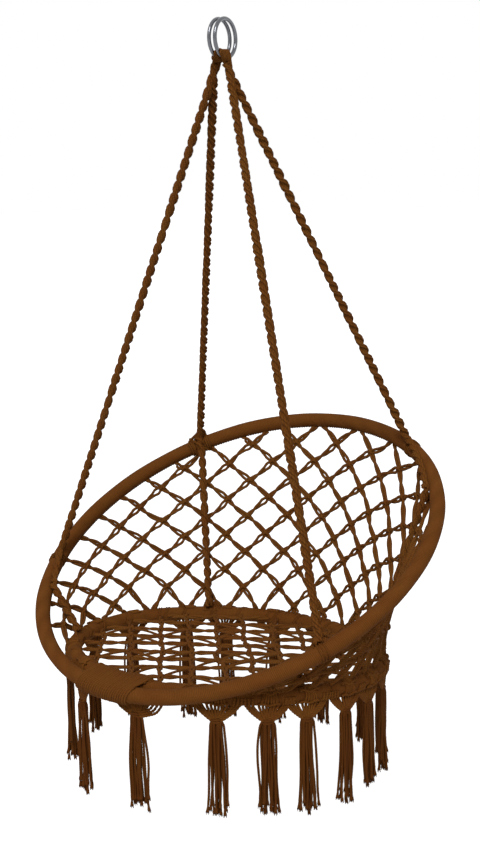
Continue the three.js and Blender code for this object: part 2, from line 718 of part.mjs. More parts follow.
// The seat net is a flat grid turned to the chair's axes, in the seat hoop's own plane
function seatNet() {
  const turn = seatNetTurnDeg * degree;
  const along = new THREE.Vector3(Math.cos(turn), Math.sin(turn), 0);
  const across = new THREE.Vector3(-Math.sin(turn), Math.cos(turn), 0);
  const normal = new THREE.Vector3(0, 0, 1);
  const reach = seatRadius - seatNetKnotMargin;
  const inner = seatRadius * Math.cos(Math.PI / seatHoopSteps) - wrapCorner - seatGap;
  const besideLashing = seatRadius - lashingCoil - cordCorner - lashingRoom;
  const lashedDeg = lashingEndDeg + netStrandWidth / seatRadius / degree;
  const endRadius = (angleDeg) => (Math.abs(angleDeg) < lashedDeg ? besideLashing : inner);
  const rows = Math.ceil(seatRadius / Math.min(seatNetSpacingAlong, seatNetSpacingAcross)) + 1;
  const place = (i, j) => {
    const aside = (i + seatNetAcrossShare) * seatNetSpacingAcross;
    return along.clone().multiplyScalar(aside).addScaledVector(across, (j + seatNetAlongShare) * seatNetSpacingAlong);
  };
  const numbers = new Map();
  const nodes = [];
  for (let i = -rows; i <= rows; i += 1) {
    for (let j = -rows; j <= rows; j += 1) {
      const point = place(i, j);
      if (point.length() < reach) {
        numbers.set(`${i},${j}`, nodes.length);
        nodes.push({ point, normal });
      }
    }
  }
  const links = [];
  const strays = [];
  const steps = [[1, 0], [0, 1], [-1, 0], [0, -1]];
  for (const [key, node] of numbers) {
    const [i, j] = key.split(',').map(Number);
    steps.forEach(([di, dj], order) => {
      const other = numbers.get(`${i + di},${j + dj}`);
      if (other === undefined) {
        const rim = rimPoint(nodes[node].point, place(i + di, j + dj), inner);
        strays.push({ node, angleDeg: Math.atan2(rim.x, -rim.y) / degree });
      } else if (order < 2) {
        links.push([node, other]);
      }
    });
  }
  spread(strays, (netStrandWidth / netMitreShare + seatGap) / inner / degree);
  uncross(strays, nodes, (angleDeg) => hoopPoint(endRadius(angleDeg), angleDeg));
  const ends = strays.map(({ node, angleDeg }) => {
    const edge = hoopPoint(1, angleDeg + 90);
    return { node, point: hoopPoint(endRadius(angleDeg), angleDeg), edge };
  });
  return netBody(nodes, links, ends);
}

// Where a line from inside a circle crosses it
function rimPoint(from, to, radius) {
  const away = to.clone().sub(from).normalize();
  const along = from.dot(away);
  const reach = -along + Math.sqrt(along ** 2 + radius ** 2 - from.lengthSq());
  return from.clone().addScaledVector(away, reach);
}

// The fringe cord runs under the seat hoop from one side of the lashing to the other and dips to each tassel
const fringeReach = wrapCorner + seatGap + fringeCorner;
const fringeOut = fringeReach * Math.sin(fringeSideDeg * degree);
const fringeHigh = -fringeReach * Math.cos(fringeSideDeg * degree);

function fringeLow(k) {
  return fringeHigh - fringeDepth * tasselDropShares[k];
}

function fringeCord() {
  const up = new THREE.Vector3(0, 0, 1);
  const spots = [[lashingEndDeg, fringeHigh]];
  tasselDegrees.forEach((angleDeg, k) => {
    const before = k === 0 ? lashingEndDeg : (angleDeg + tasselDegrees[k - 1] + swagMeetDeg) / 2;
    const last = k === tasselDegrees.length - 1;
    const after = last ? 360 - lashingEndDeg : (angleDeg + tasselDegrees[k + 1] - swagMeetDeg) / 2;
    if (k > 0) {
      spots.push([Math.max(angleDeg - swagHalfDeg, before), fringeHigh]);
    }
    spots.push([angleDeg, fringeLow(k)]);
    spots.push([Math.min(angleDeg + swagHalfDeg, after), fringeHigh]);
  });
  spots.push([360 - lashingEndDeg, fringeHigh]);
  const stations = spots.map(([angleDeg, above]) => {
    const point = hoopPoint(seatRadius, angleDeg, fringeOut, above);
    return { point, up, acrossRadius: fringeCorner, upRadius: fringeCorner };
  });
  return loft(pathSections(stations, fringeSides));
}

// A tassel hangs with its knot under the fringe cord; flutes stand for its loose cords
function tassel() {
  const profile = [
    [tasselNeckDiameter / 2, 0],
    [tasselKnotDiameter / 2, tasselKnotHeight * tasselKnotWaistShare],
    [tasselNeckDiameter / 2, tasselKnotHeight],
    [tasselTopDiameter / 2, tasselKnotHeight * 2],
    [tasselFootDiameter / 2, tasselLength],
  ];
  const corners = 2 * tasselLobes;
  const rings = profile.map(([radius, below], level) => {
    const points = [];
    for (let i = 0; i < corners; i += 1) {
      const fluted = level > 2 && i % 2 === 1;
      const reach = fluted ? radius * tasselFluteShare : radius;
      const angle = (fullTurn * i) / corners;
      points.push(new THREE.Vector3(reach * Math.cos(angle), reach * Math.sin(angle), -below));
    }
    return points;
  });
  return loft(rings);
}

function mesh(name, geometry, look) {
  const piece = new THREE.Mesh(geometry, new THREE.MeshStandardMaterial(look));
  piece.name = name;
  return piece;
}

function hangingRing(name, across) {
  const rings = [];
  for (let k = 0; k < ringSteps; k += 1) {
    const angle = (fullTurn * k) / ringSteps;
    const outward = ringForward.clone().multiplyScalar(Math.sin(angle)).addScaledVector(worldUp, Math.cos(angle));
    const middle = outward.clone().multiplyScalar(ringRadius);
    rings.push(section(middle, outward, ringNormal, wireCorner, wireCorner, roundSides));
  }
  const piece = mesh(name, loft(rings, true), steel);
  piece.position.copy(ringCentre).addScaledVector(ringNormal, across);
  return piece;
}

const chair = new THREE.Group();
chair.add(upperHoop, seatHoop);

// Hanging rings
chair.add(hangingRing('hanging_ring_left', -ringSpacing / 2));
chair.add(hangingRing('hanging_ring_right', ringSpacing / 2));

// Hoops
upperHoop.add(mesh('upper_hoop_tube', bentTube(upperRadius, tubeCorner, boreCorner, upperHoopSteps), tubeSteel));
upperHoop.add(mesh('upper_hoop_wrap', bentTube(upperRadius, wrapCorner, wrapBoreCorner, upperHoopSteps), brownCord));
seatHoop.add(mesh('seat_hoop_tube', bentTube(seatRadius, tubeCorner, boreCorner, seatHoopSteps), tubeSteel));
seatHoop.add(mesh('seat_hoop_wrap', bentTube(seatRadius, wrapCorner, wrapBoreCorner, seatHoopSteps), brownCord));

// Ropes and the windings that tie them
chair.add(mesh('suspension_rope_front', suspensionRope(bundleSideDeg, 'front_left', 'front_right'), brownCord));
chair.add(mesh('suspension_rope_back', suspensionRope(-bundleSideDeg, 'back_left', 'back_right'), brownCord));
for (const side of Object.keys(ropeSideDegrees)) {
  const name = `rope_knot_${side}`;
  upperHoop.add(mesh(name, windingBody(name, knotPaths[side]), darkCord));
  chair.add(mesh(`lower_rope_${side}`, lowerRope(side), brownCord));
}
chair.add(mesh('front_lashing', lashing('front_lashing'), darkCord));

// Nets
chair.add(mesh('back_net', backNet(), brownCord));
seatHoop.add(mesh('seat_net', seatNet(), brownCord));

// Fringe
seatHoop.add(mesh('fringe_cord', fringeCord(), darkCord));
tasselDegrees.forEach((angleDeg, k) => {
  const piece = mesh(`tassel_${String(k + 1).padStart(2, '0')}`, tassel(), darkCord);
  piece.position.copy(hoopPoint(seatRadius, angleDeg, fringeOut, fringeLow(k) - fringeFlat - seatGap));
  piece.rotation.x = -seatTilt;
  seatHoop.add(piece);
});

export default chair;
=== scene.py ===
# A hammock chair: two cord-wrapped hoops joined by knotted nets, hung by ropes from two steel rings.
# Metres and degrees, in the frame of the solids: +Z is up, the chair faces -Y.
import math

import bpy
import numpy as np
from mathutils import Matrix


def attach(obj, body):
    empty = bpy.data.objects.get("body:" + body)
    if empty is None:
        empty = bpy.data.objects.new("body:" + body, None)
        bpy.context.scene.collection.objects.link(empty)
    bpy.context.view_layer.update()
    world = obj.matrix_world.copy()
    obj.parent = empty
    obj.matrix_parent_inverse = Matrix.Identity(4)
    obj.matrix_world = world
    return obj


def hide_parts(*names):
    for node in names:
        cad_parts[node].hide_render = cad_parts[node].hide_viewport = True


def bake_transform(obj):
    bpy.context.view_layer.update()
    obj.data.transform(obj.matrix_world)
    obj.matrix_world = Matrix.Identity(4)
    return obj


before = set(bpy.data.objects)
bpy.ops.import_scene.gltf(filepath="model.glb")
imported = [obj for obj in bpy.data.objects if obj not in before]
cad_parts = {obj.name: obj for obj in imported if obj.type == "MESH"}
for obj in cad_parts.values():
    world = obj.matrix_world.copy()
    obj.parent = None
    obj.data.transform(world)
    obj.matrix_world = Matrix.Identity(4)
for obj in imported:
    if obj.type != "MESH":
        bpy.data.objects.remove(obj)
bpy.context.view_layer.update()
rng = np.random.default_rng(11)
WORLD_UP = np.array([0.0, 0.0, 1.0])

# Sizes of the solids
ring_radius = 0.0335
ring_wire = 0.0035
ring_depth = 0.030
ring_half_spacing = 0.006
ring_yaw = 9
upper_radius = 0.386
seat_radius = 0.286
wrap_radius = 0.014
upper_tilt = 27.7
seat_tilt = -5.7
upper_depth = 0.942
upper_offset = 0.001
hoop_distance = 0.02981
contact_lift = 15
tassel_angles = [10, 38, 55, 69, 86, 100, 118, 139, 157, 181, 202, 222, 238, 263, 285, 315, 341]
# Where each leg lands on the upper hoop, and where the rope inside the net starts and stops
rope_angles = {"front_left": (-69, -57, -52), "front_right": (60, 60, 66),
               "back_right": (149.5, 127, 130), "back_left": (-131, -131.7, -131)}


def unit(vectors):
    return vectors / np.maximum(np.linalg.norm(vectors, axis=-1, keepdims=True), 1e-12)


def sin(degrees):
    return np.sin(np.radians(degrees))


def cos(degrees):
    return np.cos(np.radians(degrees))


def add_object(name, data, axes=np.eye(3), position=(0, 0, 0)):
    """Puts an object into the scene, its own axes along the three given directions."""
    placed = bpy.data.objects.new(name, data)
    placed.matrix_world = Matrix(np.vstack([np.column_stack([*axes, position]), [0, 0, 0, 1]]))
    bpy.context.scene.collection.objects.link(placed)
    return placed


# Camera: where the photograph was taken from, and its directions right, up and back
camera_position = (1.68054, -1.89089, -0.23943)
camera_axes = ((0.7539986, 0.6564701, -0.0230898), (-0.1036455, 0.1536071, 0.9826813),
               (0.6486476, -0.7385472, 0.1838597))
camera = bpy.data.cameras.new("camera")
camera.sensor_fit = "VERTICAL"
camera.sensor_height = 36
camera.lens = 59.746
camera.clip_start = 0.05
camera.clip_end = 60
bpy.context.scene.camera = add_object("camera", camera, camera_axes, camera_position)


# Paths
def arc_lengths(points):
    return np.concatenate([[0], np.cumsum(np.linalg.norm(np.diff(points, axis=0), axis=1))])


def resample(points, step):
    """The same path with its points in equal steps."""
    lengths = arc_lengths(points)
    count = max(2, int(round(lengths[-1] / step)))
    at = np.linspace(0, lengths[-1], count + 1)
    return np.stack([np.interp(at, lengths, points[:, i]) for i in range(3)], axis=1)


def curve_through(controls, step):
    """A smooth curve through the given points, in equal steps."""
    controls = np.asarray(controls, float)
    padded = np.vstack([2 * controls[0] - controls[1], controls, 2 * controls[-1] - controls[-2]])
    t = np.linspace(0, 1, 12, endpoint=False)[:, None]
    parts = []
    for a, b, c, d in zip(padded, padded[1:], padded[2:], padded[3:]):
        cubic = (3 * b - a - 3 * c + d) * t ** 3
        square = (2 * a - 5 * b + 4 * c - d) * t ** 2
        parts.append(0.5 * (2 * b + (c - a) * t + square + cubic))
    parts.append(controls[-1:])
    return resample(np.vstack(parts), step)


def frames(points, hint=WORLD_UP):
    """Directions across and up along a path, carried on without twist."""
    tangent = unit(np.gradient(points, axis=0))
    up = np.empty_like(points)
    carried = hint if abs(hint @ tangent[0]) <= 0.95 else np.array([0.0, 1.0, 0.0])
    for k, along in enumerate(tangent):
        carried = carried - (carried @ along) * along
        carried = carried / np.linalg.norm(carried)
        up[k] = carried
    return np.cross(tangent, up), up


def lobes(sides, plies, depth):
    """Radius shares of a cord's section, with a groove between each two plies."""
    turns = (np.arange(sides) * plies / sides) % 1
    return 1 - depth + depth * np.abs(np.sin(math.pi * turns))


# Textures count in centimetres along a cord
texture_scale = 100


class Piece:
    """Collects the surfaces of one piece and makes its object."""

    def __init__(self, name):
        self.name = name
        self.points = []
        self.quads = []
        self.corners = []
        self.count = 0

    def tube(self, path, radius, sides=8, across=None, up=None, twist=0, shape=1, closed=False):
        """A tube along a path. Radius and twist may vary along it, and shape round it."""
        if across is None:
            across, up = frames(path)
        angles = 2 * math.pi * np.arange(sides) / sides + np.reshape(twist, (-1, 1))
        reach = np.broadcast_to(radius, len(path))[:, None] * shape
        ring = path[:, None] + across[:, None] * (reach * np.cos(angles))[:, :, None]
        ring = ring + up[:, None] * (reach * np.sin(angles))[:, :, None]
        if np.sum(np.cross(across, up) * np.gradient(path, axis=0)) > 0:
            ring = ring[:, ::-1]
        self.grid(ring, arc_lengths(path), closed)

    def grid(self, ring, lengths, closed=False):
        """Joins rings of points; the ends are drawn together unless the rings close on themselves."""
        rings, sides = ring.shape[:2]
        lengths = texture_scale * lengths
        if not closed:
            centres = ring.mean(axis=1, keepdims=True)
            first = 0.98 * centres[:1] + 0.02 * ring[:1]
            last = 0.98 * centres[-1:] + 0.02 * ring[-1:]
            ring = np.concatenate([first, ring, last])
            lengths = np.concatenate([lengths[:1], lengths, lengths[-1:]])
            rings += 2
        self.points.append(ring.reshape(-1, 3))
        spans = rings if closed else rings - 1
        k, i = np.meshgrid(np.arange(spans), np.arange(sides), indexing="ij")
        j = (i + 1) % sides
        after = (k + 1) % rings
        quad = np.stack([k * sides + i, after * sides + i, after * sides + j, k * sides + j], axis=-1)
        self.quads.append(quad.reshape(-1, 4) + self.count)
        self.count += rings * sides
        step = lengths[1] - lengths[0] if closed else 0
        here = lengths[k]
        there = np.where(after > k, lengths[after], here + step)
        low = i / sides
        high = (i + 1) / sides
        uv = np.stack([here, low, there, low, there, high, here, high], axis=-1)
        self.corners.append(uv.reshape(-1, 8))

    def yarn(self, path, radius, pitch, plies=3, sides=9, depth=0.2, start=0.0, across=None, up=None):
        """A cord laid from plies, its grooves turning along it."""
        if across is None:
            across, up = frames(path)
        twist = start + 2 * math.pi * arc_lengths(path) / pitch
        self.tube(path, radius, sides, across, up, twist, lobes(sides, plies, depth))

    def finish(self, material, body, slot, *nodes):
        """Makes the object; a body given as two names and two points leaves it unparented, with its
        transform baked in.
        """
        mesh = bpy.data.meshes.new(self.name)
        mesh.from_pydata(np.vstack(self.points), [], np.vstack(self.quads), shade_flat=False)
        layer = mesh.uv_layers.new(name="UVMap")
        layer.data.foreach_set("uv", np.vstack(self.corners).astype(np.float32).ravel())
        mesh.materials.append(material)
        piece = add_object(self.name, mesh)
        if isinstance(body, str):
            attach(piece, body)
        else:
            upper, lower, start, end = body
            tuple(start)
            tuple(end)
            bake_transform(piece)
        if nodes:
            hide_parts(*nodes)


# Hoops
class Hoop:
    """A tilted circle. Angles count from its front round by the right."""

    def __init__(self, centre, tilt, radius):
        self.centre = np.asarray(centre, float)
        self.radius = radius
        self.right = np.array([1.0, 0, 0])
        self.back = np.array([0, cos(tilt), sin(tilt)])
        self.up = np.array([0, -sin(tilt), cos(tilt)])

    def outward(self, angle):
        angle = np.asarray(angle, float)[..., None]
        return sin(angle) * self.right - cos(angle) * self.back

    def tangent(self, angle):
        return self.outward(angle + 90)

    def point(self, angle, out=0.0, above=0.0):
        out = np.asarray(out, float)[..., None]
        above = np.asarray(above, float)[..., None]
        return self.centre + (self.radius + out) * self.outward(angle) + above * self.up

    def skin(self, angle, round_angle, reach):
        """A point at a distance from the tube's middle line; 0 is outward, 90 is the tube's top."""
        return self.point(angle, reach * cos(round_angle), reach * sin(round_angle))

    def direction(self, angle, round_angle):
        round_angle = np.asarray(round_angle, float)[..., None]
        return cos(round_angle) * self.outward(angle) + sin(round_angle) * self.up


upper = Hoop((0, upper_offset, -upper_depth), upper_tilt, upper_radius)
upper_front = upper.point(0)
seat_front = upper_front + hoop_distance * np.array([0, cos(contact_lift), sin(contact_lift)])
seat_centre = seat_front + seat_radius * np.array([0, cos(seat_tilt), sin(seat_tilt)])
seat = Hoop(seat_centre, seat_tilt, seat_radius)


# Materials
class Nodes:
    """The node tree of a material or a sky, written as short calls."""

    def __init__(self, owner):
        owner.use_nodes = True
        self.owner = owner
        self.tree = owner.node_tree
        self.shader = self.tree.nodes.get("Principled BSDF")

    def set(self, node, **inputs):
        for key, value in inputs.items():
            self.put(node.inputs[key.replace("_", " ")], value)

    def put(self, socket, value):
        if isinstance(value, bpy.types.NodeSocket):
            self.tree.links.new(value, socket)
        else:
            socket.default_value = value

    def add(self, kind, **inputs):
        node = self.tree.nodes.new(kind)
        self.set(node, **inputs)
        return node

    def maths(self, operation, *values):
        node = self.tree.nodes.new("ShaderNodeMath")
        node.operation = operation
        for socket, value in zip(node.inputs, values):
            self.put(socket, value)
        return node.outputs[0]

    def mix(self, share, first, second):
        node = self.tree.nodes.new("ShaderNodeMix")
        node.data_type = "RGBA"
        for number, value in ((0, share), (6, first), (7, second)):
            self.put(node.inputs[number], value)
        return node.outputs[2]

    def noise(self, place, scale, detail):
        return self.add("ShaderNodeTexNoise", Vector=place, Scale=scale, Detail=detail).outputs["Fac"]

    def bump(self, height, strength, distance):
        node = self.add("ShaderNodeBump", Height=height, Strength=strength, Distance=distance)
        return node.outputs["Normal"]

    def seen(self):
        """1 for what the camera sees, straight on or by a reflection, and 0 for what only lights."""
        path = self.add("ShaderNodeLightPath").outputs
        straight = self.maths("MAXIMUM", path["Is Camera Ray"], path["Is Glossy Ray"])
        return self.maths("MAXIMUM", straight, path["Is Transmission Ray"])


def cord_material(name, colour, red, ply_turns, relief):
    """Laid cotton cord: twisted plies, loose fibres, dye that took unevenly, and painted shade that
    darkens the grooves between the plies.
    """
    nodes = Nodes(bpy.data.materials.new(name))
    place = nodes.add("ShaderNodeTexCoord").outputs
    split = nodes.add("ShaderNodeSeparateXYZ", Vector=place["UV"]).outputs
    turns = nodes.maths("MULTIPLY_ADD", split["X"], ply_turns, split["Y"])
    ply = nodes.maths("ABSOLUTE", nodes.maths("SINE", nodes.maths("MULTIPLY", turns, 3 * math.pi)))
    fibre = nodes.noise(place["Object"], 1400, 3)
    fluff = nodes.noise(place["Object"], 420, 2)
    dye = nodes.noise(place["Object"], 16, 3)
    patch = nodes.maths("SMOOTH_MAX", nodes.maths("MULTIPLY_ADD", dye, 3.2, -1.1), 0.0, 0.1)
    tone = nodes.mix(nodes.maths("MINIMUM", patch, 1.0), (*colour, 1), (*red, 1))
    shade = nodes.maths("MULTIPLY_ADD", fluff, 1.4, -0.35)
    shade = nodes.maths("MAXIMUM", nodes.maths("MINIMUM", shade, 1.0), 0.0)
    # Painted shade: the grooves between the plies are darkened towards dark_brown, as if light did not
    # reach into them.
    groove_shade = nodes.maths("MULTIPLY", nodes.maths("SUBTRACT", 1.0, ply), 0.45)
    shade = nodes.maths("MINIMUM", nodes.maths("MULTIPLY_ADD", shade, 0.35, groove_shade), 1.0)
    height = nodes.maths("MULTIPLY_ADD", fibre, 0.45, nodes.maths("MULTIPLY_ADD", fluff, 0.5, ply))
    nodes.set(nodes.shader, Base_Color=nodes.mix(shade, tone, (*dark_brown, 1)),
              Normal=nodes.bump(height, 0.75, relief), Roughness=0.84, Specular_IOR_Level=0.08)
    return nodes.owner


def steel_material(name, colour, rough, relief):
    """Lacquered metal with faint rubbed marks."""
    nodes = Nodes(bpy.data.materials.new(name))
    place = nodes.add("ShaderNodeTexCoord").outputs["Object"]
    cloud = nodes.noise(place, 90, 4)
    dull = [0.82 * share for share in colour]
    nodes.set(nodes.shader, Base_Color=nodes.mix(cloud, (*colour, 1), (*dull, 1)),
              Roughness=nodes.maths("MULTIPLY_ADD", cloud, 0.16, rough - 0.08),
              Normal=nodes.bump(nodes.noise(place, 1600, 2), 0.2, relief),
              Metallic=1.0, Coat_Weight=0.6, Coat_Roughness=0.08)
    return nodes.owner


# dark_brown is the colour of the fibre flecks and also of the painted shade in the ply grooves.
dark_brown = (0.052, 0.017, 0.0030)
rope_brown = (0.170, 0.063, 0.0100)
rope_red = (0.158, 0.051, 0.0080)
wrap_cord = cord_material("wound_cord", (0.165, 0.057, 0.0090), (0.155, 0.049, 0.0075), 1.1, 0.0004)
rope_cord = cord_material("rope_cord", rope_brown, rope_red, 0.7, 0.0006)
net_cord = cord_material("net_cord", rope_brown, rope_red, 0.75, 0.0007)
tassel_cord = cord_material("tassel_cord", (0.128, 0.041, 0.0055), (0.110, 0.031, 0.0042), 0.6, 0.0006)
# swag_cord is a lighter copy of the rope cord: painted light that lifts the swags and fans where they sit
# in shade.
swag_cord = cord_material("swag_cord", (0.185, 0.066, 0.0095), (0.165, 0.053, 0.0075), 0.6, 0.0006)
ring_steel = steel_material("plated_steel", (0.125, 0.13, 0.145), 0.24, 0.0001)
tube_steel = steel_material("painted_tube", (0.2, 0.2, 0.21), 0.5, 0.0002)

for name in ("upper_hoop_tube", "seat_hoop_tube"):
    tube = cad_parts[name]
    tube.data.materials.clear()
    tube.data.materials.append(tube_steel)

# Hanging rings
ring_normal = np.array([cos(ring_yaw), sin(ring_yaw), 0])
ring_forward = np.array([sin(ring_yaw), -cos(ring_yaw), 0])
ring_centre = np.array([0, 0, -ring_depth])
weld_turn = 0.62 * math.pi
weld_width = 0.05
weld_swell = 0.05


def hanging_ring(side, sign, body):
    """One ring of round wire, with the low bead of its weld."""
    turn = np.linspace(0, 2 * math.pi, 160, endpoint=False)
    outward = np.sin(turn)[:, None] * ring_forward + np.cos(turn)[:, None] * WORLD_UP
    path = ring_centre + sign * ring_half_spacing * ring_normal + ring_radius * outward
    weld = 1 + weld_swell * np.exp(-((turn - weld_turn) / weld_width) ** 2)
    across = np.broadcast_to(ring_normal, path.shape)
    ring = Piece(f"ring_{side}")
    ring.tube(path, ring_wire * weld, 20, outward, across, closed=True)
    ring.finish(ring_steel, body, "ring_steel", f"hanging_ring_{side}")


hanging_ring("left", -1, "held_ring")
hanging_ring("right", 1, "turning_ring")

# Hoops wound with cord
wind_pitch = 0.0032
wind_steps = 5
wind_sides = 22
wind_groove = 0.0007


def wound_hoop(name, hoop, body, node):
    """The whole winding as one coil, a little thicker in some places than in others."""
    length = 2 * math.pi * hoop.radius
    rings = wind_steps * int(round(length / wind_pitch))
    angle = 360 * np.arange(rings) / rings
    round_share = np.arange(wind_sides) / wind_sides
    phase = (np.arange(rings) / wind_steps)[:, None] + round_share[None, :]
    swell = 0.00025 * np.sin(np.radians(angle) * 7 + 1) + 0.00018 * np.sin(np.radians(angle) * 19)
    reach = wrap_radius - wind_groove + wind_groove * np.abs(np.sin(math.pi * phase)) + swell[:, None]
    along, around = np.meshgrid(angle, 360 * round_share, indexing="ij")
    winding = Piece(name)
    winding.grid(hoop.skin(along, around, reach), length * np.arange(rings) / rings, closed=True)
    winding.finish(wrap_cord, body, "wrap_cord", node)


wound_hoop("upper_hoop_winding", upper, "chair", "upper_hoop_wrap")
wound_hoop("seat_hoop_winding", seat, "seat", "seat_hoop_wrap")


# Nets between the hoops
waist_angle = 112
waist_half = 34
waist_depth = 0.024


def waist(angle):
    """How far the net is drawn in at the right side, where it hangs a little slack."""
    return waist_depth * max(cos(min(abs(angle % 360 - waist_angle) / waist_half, 1) * 90), 0) ** 2


def surface_point(angle, depth):
    """A point of the net's surface, at a depth along the straight line from hoop to hoop."""
    top, foot = upper.point(angle), seat.point(angle)
    length = np.linalg.norm(foot - top)
    drawn_in = waist(angle) * math.sin(math.pi * min(max(depth / length, 0), 1))
    return top + (foot - top) * depth / length - surface_normal(angle) * drawn_in


def surface_length(angle):
    return np.linalg.norm(upper.point(angle) - seat.point(angle))


def surface_normal(angle):
    top = upper.point(angle)
    normal = unit(np.cross(seat.point(angle) - top, upper.point(angle + 1) - top))
    return normal if normal @ (top - upper.centre) > 0 else -normal


def depth_from(is_upper, angle, distance):
    """The depth at which the surface is a given distance from the upper or the seat hoop."""
    downward = unit(seat.point(angle) - upper.point(angle))
    slant = downward @ (upper if is_upper else seat).tangent(angle)
    room = distance / math.sqrt(1 - slant ** 2)
    return room if is_upper else surface_length(angle) - room


# How the rows and columns of knots lie on that surface; their lean grows towards the sides
row_spacing = 0.0754
column_step = 6.52
column_growth = 0.115
net_phase = 3.07
net_lean = 0.92
first_row = 0.615
row_shrink = 0.42
even_share = 0.5
side_share = 0.43
other_side_share = 0.2
shear_end = 13.2
right_start = 3
right_reach = 9
right_draw = -3.2
right_swing = 9.4
right_return = -6.4
right_deeper = 0.0045
side_columns = 17
front_limit = 142
knot_margin = 0.027
strand_gap = 0.0132
net_radius = 0.0031
net_gap = 0.0026
net_leaf = 0.0021
thin_leaf = 0.0014
leaf_place = 0.0125
leaf_length = 0.0065


def row_share(column):
    """How much of a row a column is lower than the one before."""
    x = min(abs(column) / shear_end, 1)
    side = x * x * (3 - 2 * x)
    return even_share - side_share * side if column > 0 else 1 - even_share - other_side_share * side


def net_place(column, line, shift):
    """Where a knot lies; at the right the rows are drawn a little further round and down."""
    row = line + shift
    right = min(max(right_start - column, 0), right_reach) / 5
    fall = min(max(row / 5, 0), 1.1)
    turn = net_phase + (column_step + column_growth * abs(column)) * column + net_lean * row
    turn += right_draw * right + (right_swing + right_return * fall) * fall * right ** 2
    angle = turn - 180
    length = surface_length(angle)
    row_height = row_spacing * (length / surface_length(180)) ** row_shrink
    depth = row_height * row + right_deeper * fall * right ** 2
    return dict(angle=angle, turn=turn, length=length, depth=depth, column=column)


def spread(ends, least):
    """Moves ends apart until each two are the least angle apart."""
    ends.sort(key=lambda end: end["angle"])
    for _ in ends:
        for a, b in zip(ends, ends[1:]):
            short = least - (b["angle"] - a["angle"])
            if short > 0:
                b["angle"] += short / 2
                a["angle"] -= short / 2


def uncross(ends, end_point):
    """Two strands that would cross on their way to a hoop change places."""
    def reach(end, angle):
        return np.linalg.norm(end["knot"]["point"] - end_point(angle))

    for k in range(1, len(ends)):
        a, b = ends[k - 1], ends[k]
        straight = reach(a, a["angle"]) + reach(b, b["angle"])
        if reach(a, b["angle"]) + reach(b, a["angle"]) < straight:
            a["angle"], b["angle"] = b["angle"], a["angle"]
            ends[k - 1], ends[k] = b, a


def stray_angle(start, goal, is_upper):
    """Where a strand that leaves a knot stops on a hoop."""
    share = 1
    for step in range(23, 0, -1):
        angle = start["angle"] + (goal["angle"] - start["angle"]) * step / 24
        depth = start["depth"] + (goal["depth"] - start["depth"]) * step / 24
        limit = depth_from(is_upper, angle, wrap_radius + 0.002)
        if depth < limit if is_upper else depth > limit:
            share = step / 24
    return start["angle"] + (goal["angle"] - start["angle"]) * share


def lay_out_net():
    """Knots of the back net, the pairs that struts join, and the free ends on the hoops."""
    shifts = {0: first_row}
    for c in range(side_columns):
        shifts[c + 1] = shifts[c] + row_share(c + 0.5)
        shifts[-c - 1] = shifts[-c] - row_share(-c - 0.5)
    lines = math.ceil(surface_length(180) / row_spacing) + side_columns
    places = {}
    for column, shift in shifts.items():
        for line in range(-lines, lines + 1):
            place = net_place(column, line, shift)
            shallow = depth_from(True, place["angle"], knot_margin)
            deep = depth_from(False, place["angle"], knot_margin)
            place["knot"] = shallow < place["depth"] < deep and abs(place["turn"]) < front_limit
            place["point"] = surface_point(place["angle"], place["depth"])
            place["normal"] = surface_normal(place["angle"])
            places[column, line] = place
    struts = []
    strays = {True: [], False: []}
    for (column, line), here in places.items():
        for other in (places.get((column + 1, line)), places.get((column - 1, line + 1))):
            if other is None:
                continue
            if here["knot"] and other["knot"]:
                struts.append((here, other, other["column"] > here["column"]))
                continue
            for start, goal in ((here, other), (other, here)):
                if start["knot"]:
                    is_upper = goal["depth"] / goal["length"] < start["depth"] / start["length"]
                    strays[is_upper].append({"knot": start, "angle": stray_angle(start, goal, is_upper)})
    for is_upper, ends in strays.items():
        radius = upper_radius if is_upper else seat_radius
        spread(ends, math.degrees(strand_gap / radius))
        margin = wrap_radius - 0.0015
        uncross(ends, lambda angle: surface_point(angle, depth_from(is_upper, angle, margin)))
        for end in ends:
            end["point"] = surface_point(end["angle"], depth_from(is_upper, end["angle"], margin))
            end["normal"] = surface_normal(end["angle"])
    knots = [place for place in places.values() if place["knot"]]
    return knots, struts, strays


def strut(piece, start, goal, normals, leaf, radius=net_radius, base=net_gap, crossings=1):
    """Two cords side by side; they may open to a leaf just after the start, and then they cross."""
    length = np.linalg.norm(goal - start)
    steps = max(8, int(length / 0.0035))
    s = np.linspace(0, 1, steps + 1)
    normal = unit(normals[0] + (normals[1] - normals[0]) * s[:, None])
    across = unit(np.cross(unit(goal - start), normal))
    bow = 0.0018 * rng.standard_normal()
    line = start + (goal - start) * s[:, None] + across * (bow * np.sin(math.pi * s))[:, None]
    where = (leaf_place + 0.003 * rng.random()) / length
    gap = base + leaf * np.exp(-(((s - where) * length) / leaf_length) ** 2)
    share = np.clip((s - where) / (1 - where), 0, 1)
    turned = crossings * share ** 1.15
    phase = math.pi * (turned - 0.07 * np.sin(2 * math.pi * turned)) * (1 if rng.random() < 0.5 else -1)
    for side in (1, -1):
        sideways = (side * gap * np.cos(phase))[:, None]
        outward = (side * 0.85 * base * np.sin(phase))[:, None]
        path = line + across * sideways + normal * outward
        piece.tube(path, radius * (0.94 + 0.12 * rng.random()), 7, across, normal)


